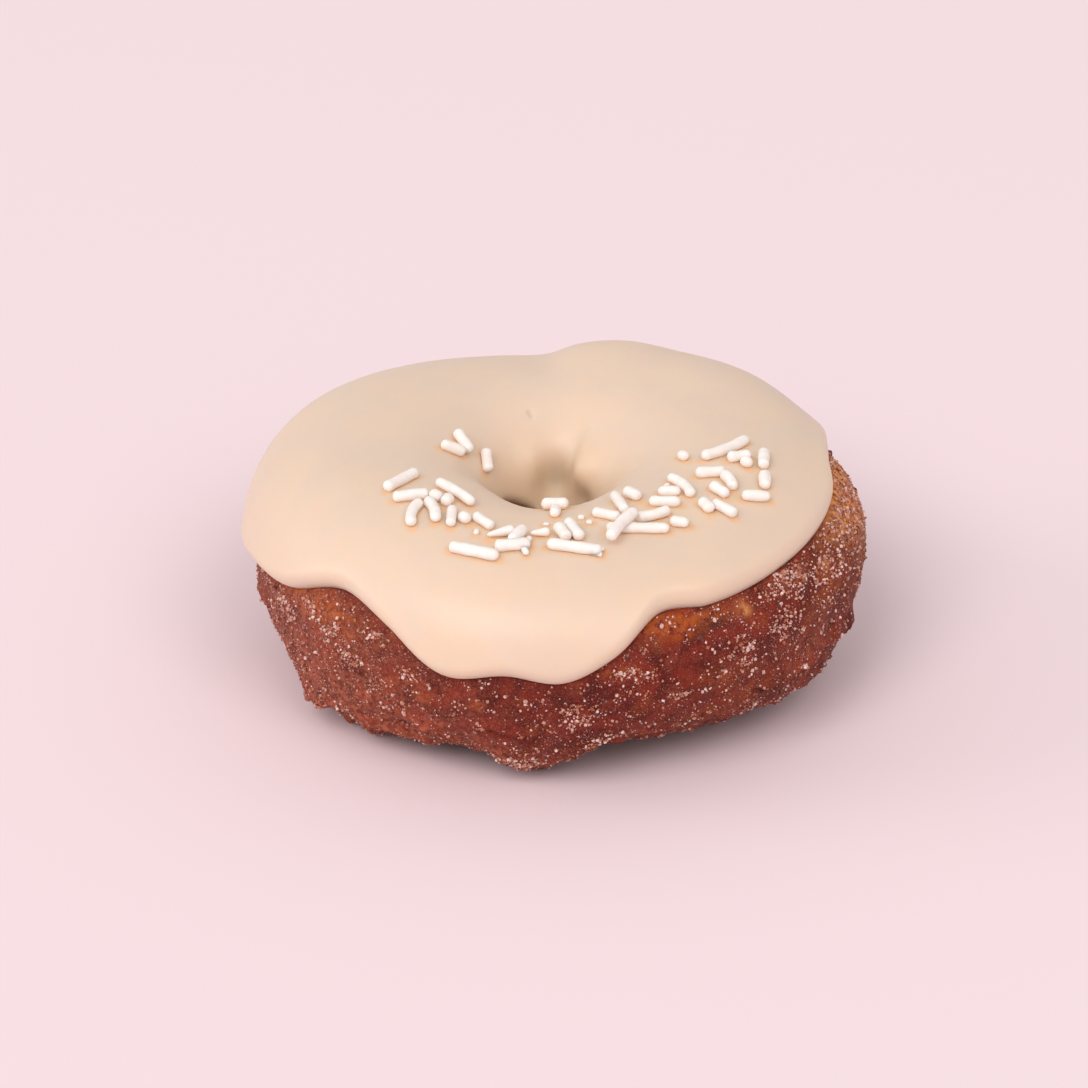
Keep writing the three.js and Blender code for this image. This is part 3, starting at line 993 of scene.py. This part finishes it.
def icingFinish():
    # cream, a little cloudy, with painted warm shade down in the hole and beside the sprinkles,
    # and browner beside bare dough, partly painted shade by the crack in the hole
    look = icingLook
    finish = Finish("maple_icing", Roughness=0.42, Subsurface_Weight=0.7,
                    Subsurface_Radius=(1.0, 0.62, 0.38), Subsurface_Scale=3 * mm)
    colour = finish.mix(finish.grain(*look["cloud"]).between(0.35, 0.65), *look["cream"])
    painted = {name: finish.attribute(name) for name in ("holeShade", "sprinkleShade", "stainAndShade")}
    finish.skin(finish.layers(colour, look, painted), look)
    return finish.material


def sprinkleFinish():
    # nearly white pressed sugar
    look = sprinkleLook
    finish = Finish("sugar_sprinkles", Roughness=0.5, Subsurface_Weight=0.6,
                    Subsurface_Radius=(1.0, 0.9, 0.8), Subsurface_Scale=1 * mm)
    colour = finish.mix(finish.grain(*look["cloud"]).between(0.35, 0.65), *look["white"])
    finish.skin(colour, look)
    return finish.material


def sugarFinish(name):
    # each grain has its own tone, from syrupy to white
    finish = Finish(name, Roughness=0.5, Specular_IOR_Level=0.2)
    finish.coat(Base_Color=finish.mix(finish.attribute("tone"), *sugarLook[name]))
    return finish.material


def crumbFinish():
    # each crumb has its own tone, with sugar dust in patches
    look = crumbLook
    finish = Finish("fried_crumbs", Roughness=0.7)
    colour = finish.mix(finish.attribute("tone").between(0.2, 0.9), *look["dough"])
    dust = finish.grain(*look["dusty"]).between(0.5, 0.75)
    finish.skin(finish.layers(colour, look, {"dust": dust}), look)
    return finish.material


for piece, material in [(crustPiece, crustFinish()), (icingPiece, icingFinish()),
                        (sprinklePiece, sprinkleFinish()), (fineSugar, sugarFinish("fine_sugar")),
                        (coarseSugar, sugarFinish("coarse_sugar")), (crumbs, crumbFinish())]:
    piece.data.materials.append(material)
print("finishes made")

studio = {
    "aim": (-1.45, 1.3, 18.5),
    "elevation": 28.0,
    "distance": 660.0,
    "lens": 145.0,
    "sensor": 36.0,
    "floor": screen(238, 217, 221),
    # in metres: half the floor's side, and the lamps' distance and size
    "floorHalf": 3.0,
    "lampDistance": 9.0,
    "lampSize": 5.4,
    "sky": (1.0, 0.965, 0.955, 1.0),
    "skyStrength": 0.59,
    # azimuth from +X, elevation and watts
    "lamps": {"frontLeft": (240, 45, 345), "frontRight": (300, 45, 198), "left": (180, 20, 166)},
}


def makeCamera():
    # in front of the ring, tilted down and aimed at its middle
    camera = addObject("camera", bpy.data.cameras.new("camera"))
    tilt = np.radians(studio["elevation"])
    back = Vector((0, -np.cos(tilt), np.sin(tilt)))
    camera.location = (Vector(studio["aim"]) + back * studio["distance"]) * mm
    camera.rotation_euler = back.to_track_quat("Z", "Y").to_euler()
    camera.data.lens = studio["lens"]
    camera.data.sensor_width = studio["sensor"]
    bpy.context.scene.camera = camera


def makeFloor():
    half = studio["floorHalf"]
    mesh = bpy.data.meshes.new("floor")
    mesh.from_pydata([(-half, -half, 0), (half, -half, 0), (half, half, 0), (-half, half, 0)], [],
                     [(0, 1, 2, 3)])
    floor = addObject("floor", mesh)
    finish = Finish("pale_floor", Roughness=0.9, Specular_IOR_Level=0.1)
    finish.coat(Base_Color=studio["floor"])
    mesh.materials.append(finish.material)


def makeLamp(name, azimuth, elevation, watts):
    # a large disk that faces the ring from far away
    turn, tilt = np.radians(azimuth), np.radians(elevation)
    direction = Vector((np.cos(tilt) * np.cos(turn), np.cos(tilt) * np.sin(turn), np.sin(tilt)))
    light = bpy.data.lights.new(name, "AREA")
    light.shape = "DISK"
    light.size = studio["lampSize"]
    light.energy = watts
    lamp = addObject(name, light)
    lamp.location = Vector(studio["aim"]) * mm + direction * studio["lampDistance"]
    lamp.rotation_euler = direction.to_track_quat("Z", "Y").to_euler()
    lamp.visible_camera = False


def makeWorld():
    # even light from all sides
    world = bpy.data.worlds.new("studio")
    world.use_nodes = True
    sky = world.node_tree.nodes["Background"]
    sky.inputs["Color"].default_value = studio["sky"]
    sky.inputs["Strength"].default_value = studio["skyStrength"]
    bpy.context.scene.world = world
    bpy.context.scene.view_settings.view_transform = "Standard"


makeCamera()
makeFloor()
makeWorld()
for name, lamp in studio["lamps"].items():
    makeLamp(name, *lamp)
print("studio made")
